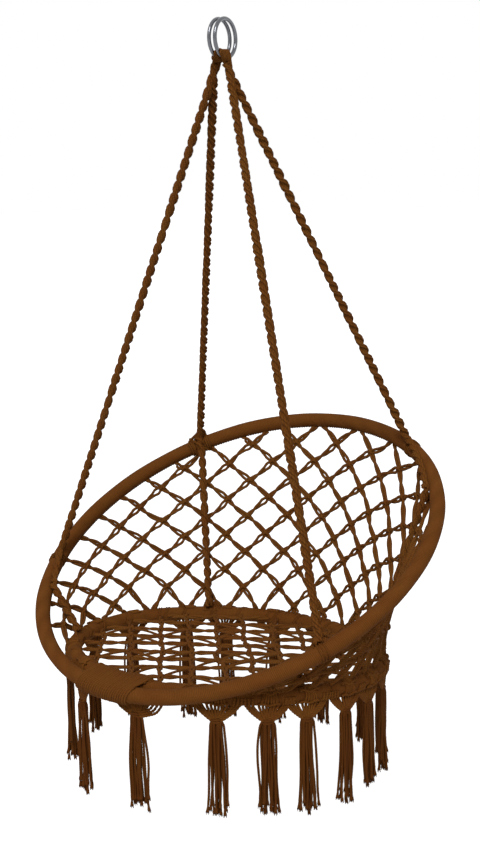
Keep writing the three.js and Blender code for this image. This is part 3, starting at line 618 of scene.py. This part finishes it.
def net_knot(piece, point, normal, directions, reach=0.0060, radius=0.0027):
    """Cords that lap over each other where two struts cross."""
    turn = np.linspace(0, 2 * math.pi, 13)[:-1]
    for order, along in enumerate(directions):
        along = unit(along - (along @ normal) * normal)
        across = np.cross(normal, along)
        size = reach * (0.94 + 0.12 * rng.random())
        outward = np.cos(turn)[:, None] * across + 0.85 * np.sin(turn)[:, None] * normal
        lean = 0.0014 * np.sin(turn)[:, None] * along
        path = point + along * 0.0009 * (1 if order else -1) + size * outward + lean
        piece.tube(path, radius, 6, unit(outward), np.broadcast_to(along, path.shape), closed=True)


# The back net is made in panels, so that no single object grows too large
knots, struts, strays = lay_out_net()
sector_count = 12
sector_width = 2 * front_limit / sector_count


def sector_of(turn):
    return int(min(max((turn + front_limit) // sector_width, 0), sector_count - 1))


net_pieces = [Piece(f"net_panel_{k + 1:02d}") for k in range(sector_count)]
for place, other, opens in struts:
    piece = net_pieces[sector_of((place["turn"] + other["turn"]) / 2)]
    if not opens:
        place, other = other, place
    leaf = net_leaf + 0.0004 * rng.standard_normal() if opens else thin_leaf * (rng.random() < 0.25)
    strut(piece, place["point"], other["point"], (place["normal"], other["normal"]), leaf)
for is_upper, ends in strays.items():
    for end in ends:
        knot = end["knot"]
        piece = net_pieces[sector_of(knot["turn"])]
        strut(piece, knot["point"], end["point"], (knot["normal"], end["normal"]), 0.0008)
for knot in knots:
    along = unit(surface_point(knot["angle"], knot["depth"] + 0.01) - knot["point"])
    level = np.cross(knot["normal"], along)
    piece = net_pieces[sector_of(knot["turn"])]
    net_knot(piece, knot["point"], knot["normal"], (along + level, along - level))
for k, piece in enumerate(net_pieces):
    middle = (k + 0.5) * sector_width - front_limit - 180
    bend = ("chair", "seat", upper.point(middle), seat.point(middle))
    piece.finish(net_cord, bend, "net_cord", "back_net")


# Where the net is tied on: a low row of hitches under the upper hoop, and loops round the seat hoop
hitch_length = 0.0056
tie_radius = 0.0011


def section_of(hoop, angle, point):
    """The angle round a hoop's section at which a point lies."""
    offset = point - hoop.point(angle)
    return math.degrees(math.atan2(offset @ hoop.up, offset @ hoop.outward(angle)))


def hoop_loop(piece, hoop, angle, first, last, lean):
    """A thin cord laid over a hoop's winding from one side of its section to another."""
    s = np.linspace(0, 1, max(8, int(abs(last - first) / 10)))
    at = angle + lean * (s - 0.5)
    section = first + (last - first) * s
    sink = 0.0008 * np.abs(2 * s - 1) ** 6
    path = hoop.skin(at, section, wrap_radius + 0.3 * tie_radius - sink)
    piece.tube(path, tie_radius, 7, hoop.tangent(at), hoop.direction(at, section))


def hitch_ridge():
    """A low row of hitches along the upper hoop, all the way that the net goes."""
    path_angles = np.arange(-front_limit - 180, front_limit - 179, 2.0)
    facings = [section_of(upper, angle, seat.point(angle)) for angle in path_angles]
    turns = math.radians(path_angles[-1] - path_angles[0]) * upper_radius / hitch_length
    k = np.arange(int(turns * 6) + 1) / 6
    angle = path_angles[0] + (path_angles[-1] - path_angles[0]) * k / turns
    section = np.interp(angle, path_angles, np.unwrap(facings, period=360)) + 9 * np.sin(2 * math.pi * k)
    path = upper.skin(angle, section, wrap_radius + 0.0005 * np.cos(2 * math.pi * k))
    ridge = Piece("upper_hitches")
    ridge.tube(path, 0.0012, 6, upper.tangent(angle), upper.direction(angle, section))
    ridge.finish(wrap_cord, "chair", "wrap_cord")


hitch_ridge()

loops = Piece("net_loops")
for end in strays[False]:
    angle = end["angle"]
    middle = section_of(seat, angle, upper.point(angle))
    for side in (-0.55, 0.55):
        hoop_loop(loops, seat, angle + side, middle - 50, middle + 50, 0.8 * side)
loops.finish(wrap_cord, "seat", "wrap_cord")

# Seat net, flat in the seat hoop
row_along = 0.053
row_across = 0.0555
grid_turn = 44
grid_margin = 0.024
along_share = -0.31
across_share = -0.27
grid_wander = 0.0028
seat_radius_across = 0.0025
seat_radius_along = 0.0026
loose_radius = 0.0024
seat_ups = (seat.up, seat.up)
grid_right = cos(grid_turn) * seat.right + sin(grid_turn) * seat.back
grid_back = -sin(grid_turn) * seat.right + cos(grid_turn) * seat.back


def grid_point(i, j):
    across = (i + across_share) * row_across * grid_right
    return seat.centre + across + (j + along_share) * row_along * grid_back


def rim_angle(start, goal, radius):
    """Where a line inside the seat hoop meets its winding."""
    away = unit(goal - start)
    offset = start - seat.centre
    along = offset @ away
    rim = offset + away * (math.sqrt(along ** 2 + radius ** 2 - offset @ offset) - along)
    return math.degrees(math.atan2(rim @ seat.right, -(rim @ seat.back)))


def rim_point(angle):
    return seat.point(angle, -wrap_radius + 0.0015)


seat_mesh = Piece("seat_mesh")
seat_ties = Piece("seat_ties")
cells = [(i, j) for i in range(-7, 8) for j in range(-8, 9)]
grid = {cell: grid_point(*cell) for cell in cells}
held = {cell for cell in cells if np.linalg.norm(grid[cell] - seat.centre) < seat_radius - grid_margin}
rim_ends = []
for cell in held:
    wander = rng.standard_normal() * grid_right + rng.standard_normal() * grid_back
    grid[cell] = grid[cell] + grid_wander * wander


def loose_cord(piece, start, goal, high):
    """One cord of a pair that strays to another knot."""
    s = np.linspace(0, 1, 14)[:, None]
    path = start + (goal - start) * s + seat.up * high * np.sin(math.pi * s)
    piece.tube(path + grid_back * 0.0024 * np.sin(math.pi * s) * rng.standard_normal(), loose_radius, 7)


for (i, j) in sorted(held):
    here = grid[i, j]
    net_knot(seat_mesh, here, seat.up, (grid_right + grid_back, grid_right - grid_back), 0.0042, 0.0022)
    for di, dj in ((1, 0), (0, 1), (-1, 0), (0, -1)):
        other = (i + di, j + dj)
        if other not in held:
            angle = rim_angle(here, grid_point(*other), seat_radius - wrap_radius)
            rim_ends.append({"knot": {"point": here}, "angle": angle})
        elif di > 0:
            strut(seat_mesh, grid[other], here, seat_ups, 0.0026, seat_radius_across, 0.0024)
            sideways = (i + 1, j + (1 if rng.random() < 0.5 else -1))
            if sideways in held and rng.random() < 0.55:
                loose_cord(seat_mesh, here, grid[sideways], 0.002)
        elif dj > 0:
            strut(seat_mesh, grid[other], here, seat_ups, 0.0012, seat_radius_along, 0.0023, 2)
spread(rim_ends, math.degrees(strand_gap / (seat_radius - wrap_radius)))
uncross(rim_ends, rim_point)
for end in rim_ends:
    stop = rim_point(end["angle"])
    strut(seat_mesh, end["knot"]["point"], stop, seat_ups, 0.001, seat_radius_along, 0.0023)
    for side in (-0.5, 0.5):
        hoop_loop(seat_ties, seat, end["angle"] + side, 190, 50, -4.5)
seat_mesh.finish(net_cord, "seat", "net_cord", "seat_net")
seat_ties.finish(wrap_cord, "seat", "wrap_cord")

# Ropes: two pairs of cords that turn round each other over a core
rope_pitch = 0.045
rope_opening = 0.0050
rope_yarn = 0.0033
rope_core = 0.0042
rope_step = 0.0022
close_pair = 0.34
open_pair = 0.52
crown_cord = 0.0022
crown_first = 45
crown_last = -9
crown_count = 9
crown_front_from = 4
crown_level = 42
crown_through = 31
crown_lean = -5
crown_left = -0.0160
crown_right = 0.0080
crown_drop = 0.0105
bend_start = 0.034
bend_end = 0.058


def slow_noise(lengths, step):
    """An even wandering between about -1 and 1 along a cord."""
    spots = np.arange(-1, lengths[-1] / step + 2) * step
    return np.interp(lengths, spots, rng.uniform(-1, 1, len(spots)))


def knotted_rope(piece, path, size, start, hint=WORLD_UP, half_pair=close_pair):
    """The four cords and the core; half_pair is half the turn between the cords of a pair."""
    across, up = frames(path, hint)
    lengths = arc_lengths(path)
    size = size * (1 + 0.05 * slow_noise(lengths, 0.03))
    turn = start + 2 * math.pi * lengths / rope_pitch + 0.7 * slow_noise(lengths, 0.07)
    reach = (rope_opening * (1 + 0.1 * slow_noise(lengths, 0.045)) * size)[:, None]
    for pair in (0, math.pi):
        for side in (-half_pair, half_pair):
            angle = (turn + pair + side)[:, None]
            strand = path + across * reach * np.cos(angle) + up * reach * np.sin(angle)
            piece.yarn(strand, rope_yarn * size, 0.030, 3, 8, 0.04, rng.random() * 6, across, up)
    piece.tube(path[::3], (rope_core * size)[::3], 7, across[::3], up[::3])


def ring_spot(turn, sideways, inward):
    """A point beside the rings' wires; turn is counted from their bottom to the front."""
    outward = sin(turn) * ring_forward - cos(turn) * WORLD_UP
    return ring_centre + (ring_radius - inward) * outward + sideways * ring_normal


def rope_start(sign, front):
    """Where a leg begins; sign is 1 for the right legs, and front is 1 for the front rope."""
    return ring_spot(front * crown_lean, crown_right if sign > 0 else crown_left, -crown_drop)


def crown(piece, front, legs):
    """Cords laid over both rings that gather into the two legs of a rope."""
    reach = ring_wire + crown_cord
    side = ring_half_spacing + reach
    turns = np.linspace(crown_first, crown_last, crown_count)
    mine = turns[crown_front_from:] if front > 0 else turns[:crown_front_from]
    for k, turn in enumerate(mine):
        place = (k - (len(mine) - 1) / 2) / len(mine)
        gathered = {}
        for sign, (start, away) in legs.items():
            offset = 0.0085 * place * -ring_forward
            drops = ((1, 0.003), (0.6, -0.010), (0.3, -0.024))
            gathered[sign] = [start + share * offset + along * away for share, along in drops]
        fill = (ring_radius - ring_wire) * (cos(min(turn, crown_level)) - cos(crown_level))
        over = ((side, -0.003), (side - 0.0003, 0.0015 + 0.5 * fill),
                (side - 0.0022, 0.8 * reach + fill), (ring_half_spacing, reach + fill))
        near = [ring_spot(turn, x, y) for x, y in over]
        if turn < crown_through:
            far = [ring_spot(turn, -x, y) for x, y in over]
            controls = gathered[-1][::-1] + far + near[::-1] + gathered[1]
        else:
            tuck = [ring_spot(turn, 0.0005, -0.004), ring_spot(turn, 0.0010, 0.0025)]
            controls = tuck + near[::-1] + gathered[1]
        between = [ring_spot(turn, 0, 0.0030 + fill), ring_spot(turn, 0, -0.002)] + gathered[-1]
        for points in (controls, between):
            path = curve_through(points, 0.0016)
            piece.yarn(path, crown_cord, 0.02, 3, 8, 0.06, rng.random() * 6)


for front, rope_name in ((1, "front"), (-1, "back")):
    rope = Piece(f"{rope_name}_rope")
    legs = {}
    for sign, side in ((-1, "left"), (1, "right")):
        start = rope_start(sign, front)
        target = upper.point(rope_angles[f"{rope_name}_{side}"][0])
        away = unit(start - target)
        legs[sign] = (start, away)
        end = target + away * (wrap_radius + 0.004)
        controls = [start + 0.002 * away, start - 0.04 * away, (start + end) / 2, end]
        path = curve_through(controls, rope_step)
        size = np.clip(0.8 + arc_lengths(path) / 0.2, 0.8, 1.0)
        half_pair = open_pair if front * sign > 0 else 0.36
        knotted_rope(rope, path, size, rng.random() * 3, ring_forward, half_pair)
    crown(rope, front, legs)
    ends = (ring_centre - WORLD_UP * bend_start, ring_centre - WORLD_UP * bend_end)
    rope.finish(rope_cord, ("turning_ring", "chair", *ends), "rope_cord", f"suspension_rope_{rope_name}")


# Where the ropes meet the upper hoop, go round it to its inner side, and are tied
tie_count = 3
lumpy_count = 6
tie_pitch = 0.0056
tie_cord = 0.0017
lumpy_cord = 0.0027
knot_cord = 0.0026


def lower_end(hoop, angle, downward, reach):
    """Where a lower rope starts or stops, on the inner face of the net."""
    return hoop.point(angle) - surface_normal(angle) * 0.0165 + downward * reach


def knot_loops(tie, angle, target, away, first):
    """Cords of a thicker knot, down both sides of the rope and over the hoop."""
    for side in (-1, 1):
        for width in (2.2, 2.9):
            top = target + away * (wrap_radius + 0.028)
            shoulder = target + away * (wrap_radius + 0.018) + side * 0.003 * width * upper.tangent(angle)
            sections = first + np.array([0, 50, 105, 160])
            loop = [top, shoulder, *upper.skin(angle + side * width, sections, wrap_radius + 0.003)]
            across_angles = angle - side * np.array([2.2, 1.2, -0.8, -2.4])
            sections = first + np.array([-30, 20, 75, 120])
            across = upper.skin(across_angles, sections, wrap_radius + 0.0052)
            for points in (loop, across):
                path = curve_through(points, rope_step)
                tie.yarn(path, knot_cord, 0.014, start=rng.random() * 6)


def rope_tie(name, angle, top_angle, foot_angle):
    """A rope's way over the upper hoop, and the turns of cord that hold it."""
    tie = Piece(f"rope_tie_{name}")
    sign = -1 if "left" in name else 1
    front = 1 if "front" in name else -1
    target = upper.point(angle)
    away = unit(rope_start(sign, front) - target)
    first = section_of(upper, angle, target + away) % 360
    downward = unit(seat.point(foot_angle) - upper.point(top_angle))
    last = section_of(upper, top_angle, lower_end(upper, top_angle, downward, 0.006)) % 360
    s = np.linspace(0.04, 1, 7)
    sections = first + (last - first) * s ** 0.85
    controls = [target + away * (wrap_radius + 0.024), target + away * (wrap_radius + 0.012)]
    controls += list(upper.skin(angle + (top_angle - angle) * s, sections, wrap_radius + 0.0048))
    knotted_rope(tie, curve_through(controls, rope_step), 0.9, 1.0)
    lumpy = name == "back_left"
    count, thick, swell = (lumpy_count, lumpy_cord, 0.0009) if lumpy else (tie_count, tie_cord, 0)
    k = np.arange(count * 22 + 1) / 22
    at = angle + np.degrees((k - count / 2) * tie_pitch / upper_radius)
    reach = wrap_radius + 0.6 * thick + swell * np.sin(4.1 * k + 1)
    coil = upper.skin(at, 360 * k + 100, reach)
    tie.yarn(coil, thick, 0.014, across=upper.tangent(at), up=upper.direction(at, 360 * k + 100))
    if lumpy:
        knot_loops(tie, angle, target, away, first)
    tie.finish(rope_cord, "chair", "rope_cord", f"rope_knot_{name}")


for name, angles in rope_angles.items():
    rope_tie(name, *angles)

# Ropes between the hoops, on the inner face of the net, with feet that fan out on the seat hoop
foot_length = 0.026
foot_cord = 0.0023


def inner_rope(name, top_angle, foot_angle):
    downward = unit(seat.point(foot_angle) - upper.point(top_angle))
    start = lower_end(upper, top_angle, downward, 0.004)
    end = lower_end(seat, foot_angle, downward, -0.014)
    rope = Piece(f"inner_rope_{name}")
    path = curve_through([start, start * 0.7 + end * 0.3, start * 0.3 + end * 0.7, end], rope_step)
    knotted_rope(rope, path, 1.0, rng.random() * 3, np.array([0.0, 1.0, 0.0]))
    left = arc_lengths(path)[-1] - arc_lengths(path)
    fork = path[np.searchsorted(-left, -min(foot_length, 0.4 * left[0]))]
    for lean in np.linspace(-1, 1, 8):
        foot = seat.skin(foot_angle + lean * 2.6, 95 + 6 * abs(lean), wrap_radius + 0.0004)
        under = seat.skin(foot_angle + lean * 3.0, 150, wrap_radius + 0.0002)
        controls = [fork, fork * 0.45 + foot * 0.55, foot, under]
        rope.yarn(curve_through(controls, 0.0025), foot_cord, 0.014, 3, 8, 0.1, rng.random() * 6)
    rope.finish(rope_cord, ("chair", "seat", start, end), "rope_cord", f"lower_rope_{name}")


for name, angles in rope_angles.items():
    inner_rope(name, *angles[1:])


# Binding of both hoops at the front
binding_turns = 24
binding_pitch = 0.0052
binding_slant = 0.010
binding_lift = 0.0018
binding_cord = 0.0025
turn_steps = 26


def lashing():
    """One coil round both hoops; each turn is two straight stretches and two half circles."""
    piece = Piece("front_binding")
    k = np.arange(binding_turns * turn_steps + 1) / turn_steps
    x = (k - binding_turns / 2) * binding_pitch + binding_slant * np.sin(2 * math.pi * k + 0.6)
    upper_angle = np.degrees(np.arcsin(x / upper_radius))
    seat_angle = np.degrees(np.arcsin(x / seat_radius))
    first = upper.point(upper_angle)
    second = seat.point(seat_angle)
    between = second - first
    between[:, 0] = 0
    straight = np.linalg.norm(between, axis=1)
    toward = between / straight[:, None]
    upward = np.stack([0 * x, -toward[:, 2], toward[:, 1]], axis=1)
    reach = wrap_radius + binding_lift
    arc = math.pi * reach
    travelled = (k % 1) * 2 * (straight + arc)
    path = np.empty_like(first)
    up = np.empty_like(first)
    for n, gone in enumerate(travelled):
        start, along, over, run = first[n], toward[n], upward[n], straight[n]
        if gone < run:
            middle, out = start + along * gone, over
        elif gone < run + arc:
            turn = (gone - run) / reach
            middle, out = second[n], over * math.cos(turn) + along * math.sin(turn)
        elif gone < 2 * run + arc:
            middle, out = start + along * (2 * run + arc - gone), -over
        else:
            turn = (gone - 2 * run - arc) / reach
            middle, out = start, -over * math.cos(turn) - along * math.sin(turn)
        path[n] = middle + out * reach
        up[n] = out
    tangent = unit(np.gradient(path, axis=0))
    piece.tube(path, binding_cord + 0.0003 * np.sin(k * 2.3), 7, unit(np.cross(tangent, up)), up)
    bend = ("chair", "seat", upper.point(0), seat.point(0))
    piece.finish(wrap_cord, bend, "wrap_cord", "front_lashing")


lashing()

# Fringe: under each tassel's place on the seat hoop a swag of cords that draw together
tassel_drops = [1.35] + [1] * 13 + [1.3, 1.3, 1.9]
fringe_out = 0.0082
fringe_high = -0.0176
fringe_depth = 0.024
swag_half = 7.6
front_widening = 3.2
swag_cord_radius = 0.0024
on_the_hoop = ((1.06, 10), (1.03, -30), (0.97, -62))
below_the_hoop = ((0.74, 0.24), (0.45, 0.62), (0.2, 0.9), (0.0, 1.0), (-0.1, 1.0))
over_the_face = ((120, 0.42), (88, 0.43), (50, 0.45), (12, 0.5), (-25, 0.62), (-58, 0.78))
under_the_hoop = ((-40, 0.86), (-66, 0.86))


def fringe_low(k):
    return fringe_high - fringe_depth * tassel_drops[k]


def swag_edge(cord, k, middle):
    """Three hitched cords along each lower edge of a swag, one inside the other."""
    at_front = k == 0
    for side in (-1, 1):
        for layer in range(3):
            half = side * (swag_half + front_widening * at_front) * (1 - 0.15 * layer)
            depth = fringe_depth * tassel_drops[k] - 0.0040 * layer
            controls = [seat.skin(middle + half * share, section, wrap_radius + 0.0010)
                        for share, section in on_the_hoop]
            for share, fall in below_the_hoop:
                above = fringe_high - depth * (fall ** 0.4 if at_front else fall)
                controls.append(seat.point(middle + half * share, fringe_out + 0.0006 * side, above))
            path = curve_through(controls, 0.0013)
            lump = 1 + 0.16 * np.sin(2 * math.pi * arc_lengths(path) / hitch_length + layer)
            cord.tube(path, swag_cord_radius * lump, 8)


def fringe_fan(cord, k, middle):
    """Cords from the hoop down to a tassel; the middle ones come over its outer face."""
    for lean in np.linspace(-1, 1, 10):
        lean = lean + 0.04 * (rng.random() - 0.5)
        foot = seat.point(middle, fringe_out - 0.001, fringe_low(k) + 0.003)
        bottom = foot + 0.0085 * lean * seat.tangent(middle)
        spots = over_the_face if abs(lean) < 0.56 else under_the_hoop
        controls = [seat.skin(middle + lean * swag_half * share, section, wrap_radius + 0.0008)
                    for section, share in spots]
        controls.append(controls[-1] * 0.5 + bottom * 0.5 + 0.001 * seat.outward(middle))
        controls.append(bottom)
        cord.yarn(curve_through(controls, 0.0026), 0.0027, 0.015, 3, 7, 0.1, rng.random() * 6)
    for section in (38, -34):
        at = middle + np.linspace(-3.6, 3.6, 15)
        wavy = section + 7 * np.sin(np.linspace(0, 9, 15))
        cord.tube(seat.skin(at, wavy, wrap_radius + 0.0026), 0.0023, 7)


# Tassels: cords in two rows, their places in millimetres along the hoop and outward
outer_row = ((-11, 1), (-8.4, -2.5), (-5.6, -1), (-2.8, -4), (0, -1.5),
             (2.8, -4), (5.6, -1), (8.4, -3), (11, 1))
inner_row = ((-7, 3.5), (-3.2, 4), (0.4, 3), (3.8, 4), (7.2, 3), (0, 0))
loose_cord_number = 8
tassel_cord_radius = 0.0026
tassel_shares = (0.05, 0.13, 0.28, 0.45, 0.62, 0.8, 0.93, 1.0)


def tassel_length(k):
    """The ones at the back hang longest, and the ones at the right are short."""
    if 200 < tassel_angles[k] < 250:
        return 0.178
    return 0.150 if 95 < tassel_angles[k] < 125 else 0.161


def spreading(k):
    """The tassels at the front left hang wide open."""
    return 1.0 if tassel_angles[k] > 325 else 0.5


def tassel_bands(cord, k, top, sideways, outward):
    """Two turns of cord round the head of a tassel."""
    turn = np.linspace(0, 2 * math.pi, 25)[:-1]
    radial = np.cos(turn)[:, None] * sideways + 0.55 * np.sin(turn)[:, None] * outward
    for level, width in ((0.0005, 0.0085), (-0.004, 0.0078)):
        band = top + WORLD_UP * (level + 0.0012 * np.sin(turn + k))[:, None] + radial * width
        cord.tube(band, 0.0023, 7, unit(radial), np.broadcast_to(WORLD_UP, band.shape), closed=True)


def frayed_end(cord, path, sideways, outward):
    """Five short strands that stand out at the end of a cord."""
    for turn in np.arange(5) * 2 * math.pi / 5 + rng.random():
        side = math.cos(turn) * sideways + math.sin(turn) * outward
        tip = path[-1] + 0.0017 * side
        end = tip + 0.0016 * side - WORLD_UP * (0.003 + 0.002 * rng.random())
        cord.tube(np.array([path[-3] + 0.001 * side, tip, end]), np.array([0.0009, 0.0008, 0.0003]), 5)


def tassel(k, middle):
    """Loose cords that come out side by side under a swag and hang to frayed ends."""
    cord = Piece(f"tassel_cords_{k + 1:02d}")
    top = seat.point(middle, fringe_out - 0.001, fringe_low(k) + 0.003)
    outward = seat.outward(middle)
    sideways = seat.tangent(middle)
    tassel_bands(cord, k, top, sideways, outward)
    stray_side = 1 if rng.random() < 0.6 else -1
    for n, (x, y) in enumerate(outer_row + inner_row):
        x = x * stray_side * 0.001 + 0.0008 * rng.standard_normal()
        y = y * 0.001
        loose = 0.0050 * stray_side if n == loose_cord_number else 0.0
        tail = 0.0032 * rng.standard_normal(2)
        length = tassel_length(k) + 0.007 * rng.standard_normal() - (0.012 if loose else 0)
        phase = rng.random(2) * 6
        controls = [top + 0.7 * x * sideways + 0.7 * y * outward]
        for share in tassel_shares:
            sway = 0.0010 * np.sin(phase + 7 * share) + tail * share ** 3
            swing = loose * math.sin(math.pi * min(share * 1.2, 1))
            wide = x * (1 + spreading(k) * share) + swing + sway[0]
            deep = y * (1 + 0.3 * share) + sway[1]
            controls.append(top + wide * sideways + deep * outward - WORLD_UP * length * share)
        path = curve_through(controls, 0.0021)
        left = arc_lengths(path)[-1] - arc_lengths(path)
        neck = 1 - 0.12 * np.exp(-((left - 0.011) / 0.003) ** 2)
        radius = tassel_cord_radius * neck + 0.0011 * np.exp(-(left / 0.0045) ** 2)
        cord.yarn(path, radius, 0.0080, 3, 9, 0.22, rng.random() * 6)
        frayed_end(cord, path, sideways, outward)
    cord.finish(tassel_cord, "seat", "tassel_cord", f"tassel_{k + 1:02d}")


swags = Piece("fringe_swags")
fans = Piece("fringe_fans")
for k, middle in enumerate(tassel_angles):
    swag_edge(swags, k, middle)
    fringe_fan(fans, k, middle)
    tassel(k, middle)
# The swags and fans take the lighter swag_cord, which is painted light over their shade.
swags.finish(swag_cord, "seat", "tassel_cord", "fringe_cord")
fans.finish(swag_cord, "seat", "wrap_cord")


# Floor, sky and light
floor_level = -1.62
floor_half = 30
floor_glow = 0.72
sky_light = 0.43
sun_direction = (-0.42, 0.68, -0.75)
sun_strength = 2.1
sun_spread = 25


def add_floor():
    """A pale floor that looks white and still takes the object's shadow."""
    mesh = bpy.data.meshes.new("floor")
    corners = [(-1, -1), (1, -1), (1, 1), (-1, 1)]
    points = [(x * floor_half, y * floor_half, floor_level) for x, y in corners]
    mesh.from_pydata(points, [], [(0, 1, 2, 3)])
    nodes = Nodes(bpy.data.materials.new("floor"))
    nodes.set(nodes.shader, Base_Color=(0.6, 0.6, 0.6, 1), Roughness=0.9)
    strength = nodes.maths("MULTIPLY", nodes.seen(), floor_glow)
    glow = nodes.add("ShaderNodeEmission", Color=(1, 1, 1, 1), Strength=strength)
    both = nodes.add("ShaderNodeAddShader")
    nodes.put(both.inputs[0], nodes.shader.outputs[0])
    nodes.put(both.inputs[1], glow.outputs[0])
    nodes.set(nodes.tree.nodes["Material Output"], Surface=both.outputs[0])
    mesh.materials.append(nodes.owner)
    add_object("floor", mesh)


def add_sky():
    """White where it is seen, and weaker as a light."""
    sky = bpy.data.worlds.new("sky")
    bpy.context.scene.world = sky
    nodes = Nodes(sky)
    strength = nodes.maths("MULTIPLY_ADD", nodes.seen(), 1 - sky_light, sky_light)
    nodes.set(nodes.tree.nodes["Background"], Color=(1, 1, 1, 1), Strength=strength)


def add_sun():
    light = bpy.data.lights.new("key", "SUN")
    light.energy = sun_strength
    light.angle = math.radians(sun_spread)
    back = -unit(np.array(sun_direction))
    right = unit(np.cross(WORLD_UP, back))
    add_object("key", light, (right, np.cross(back, right), back))


add_floor()
add_sky()
add_sun()
bpy.context.scene.view_settings.view_transform = "Standard"
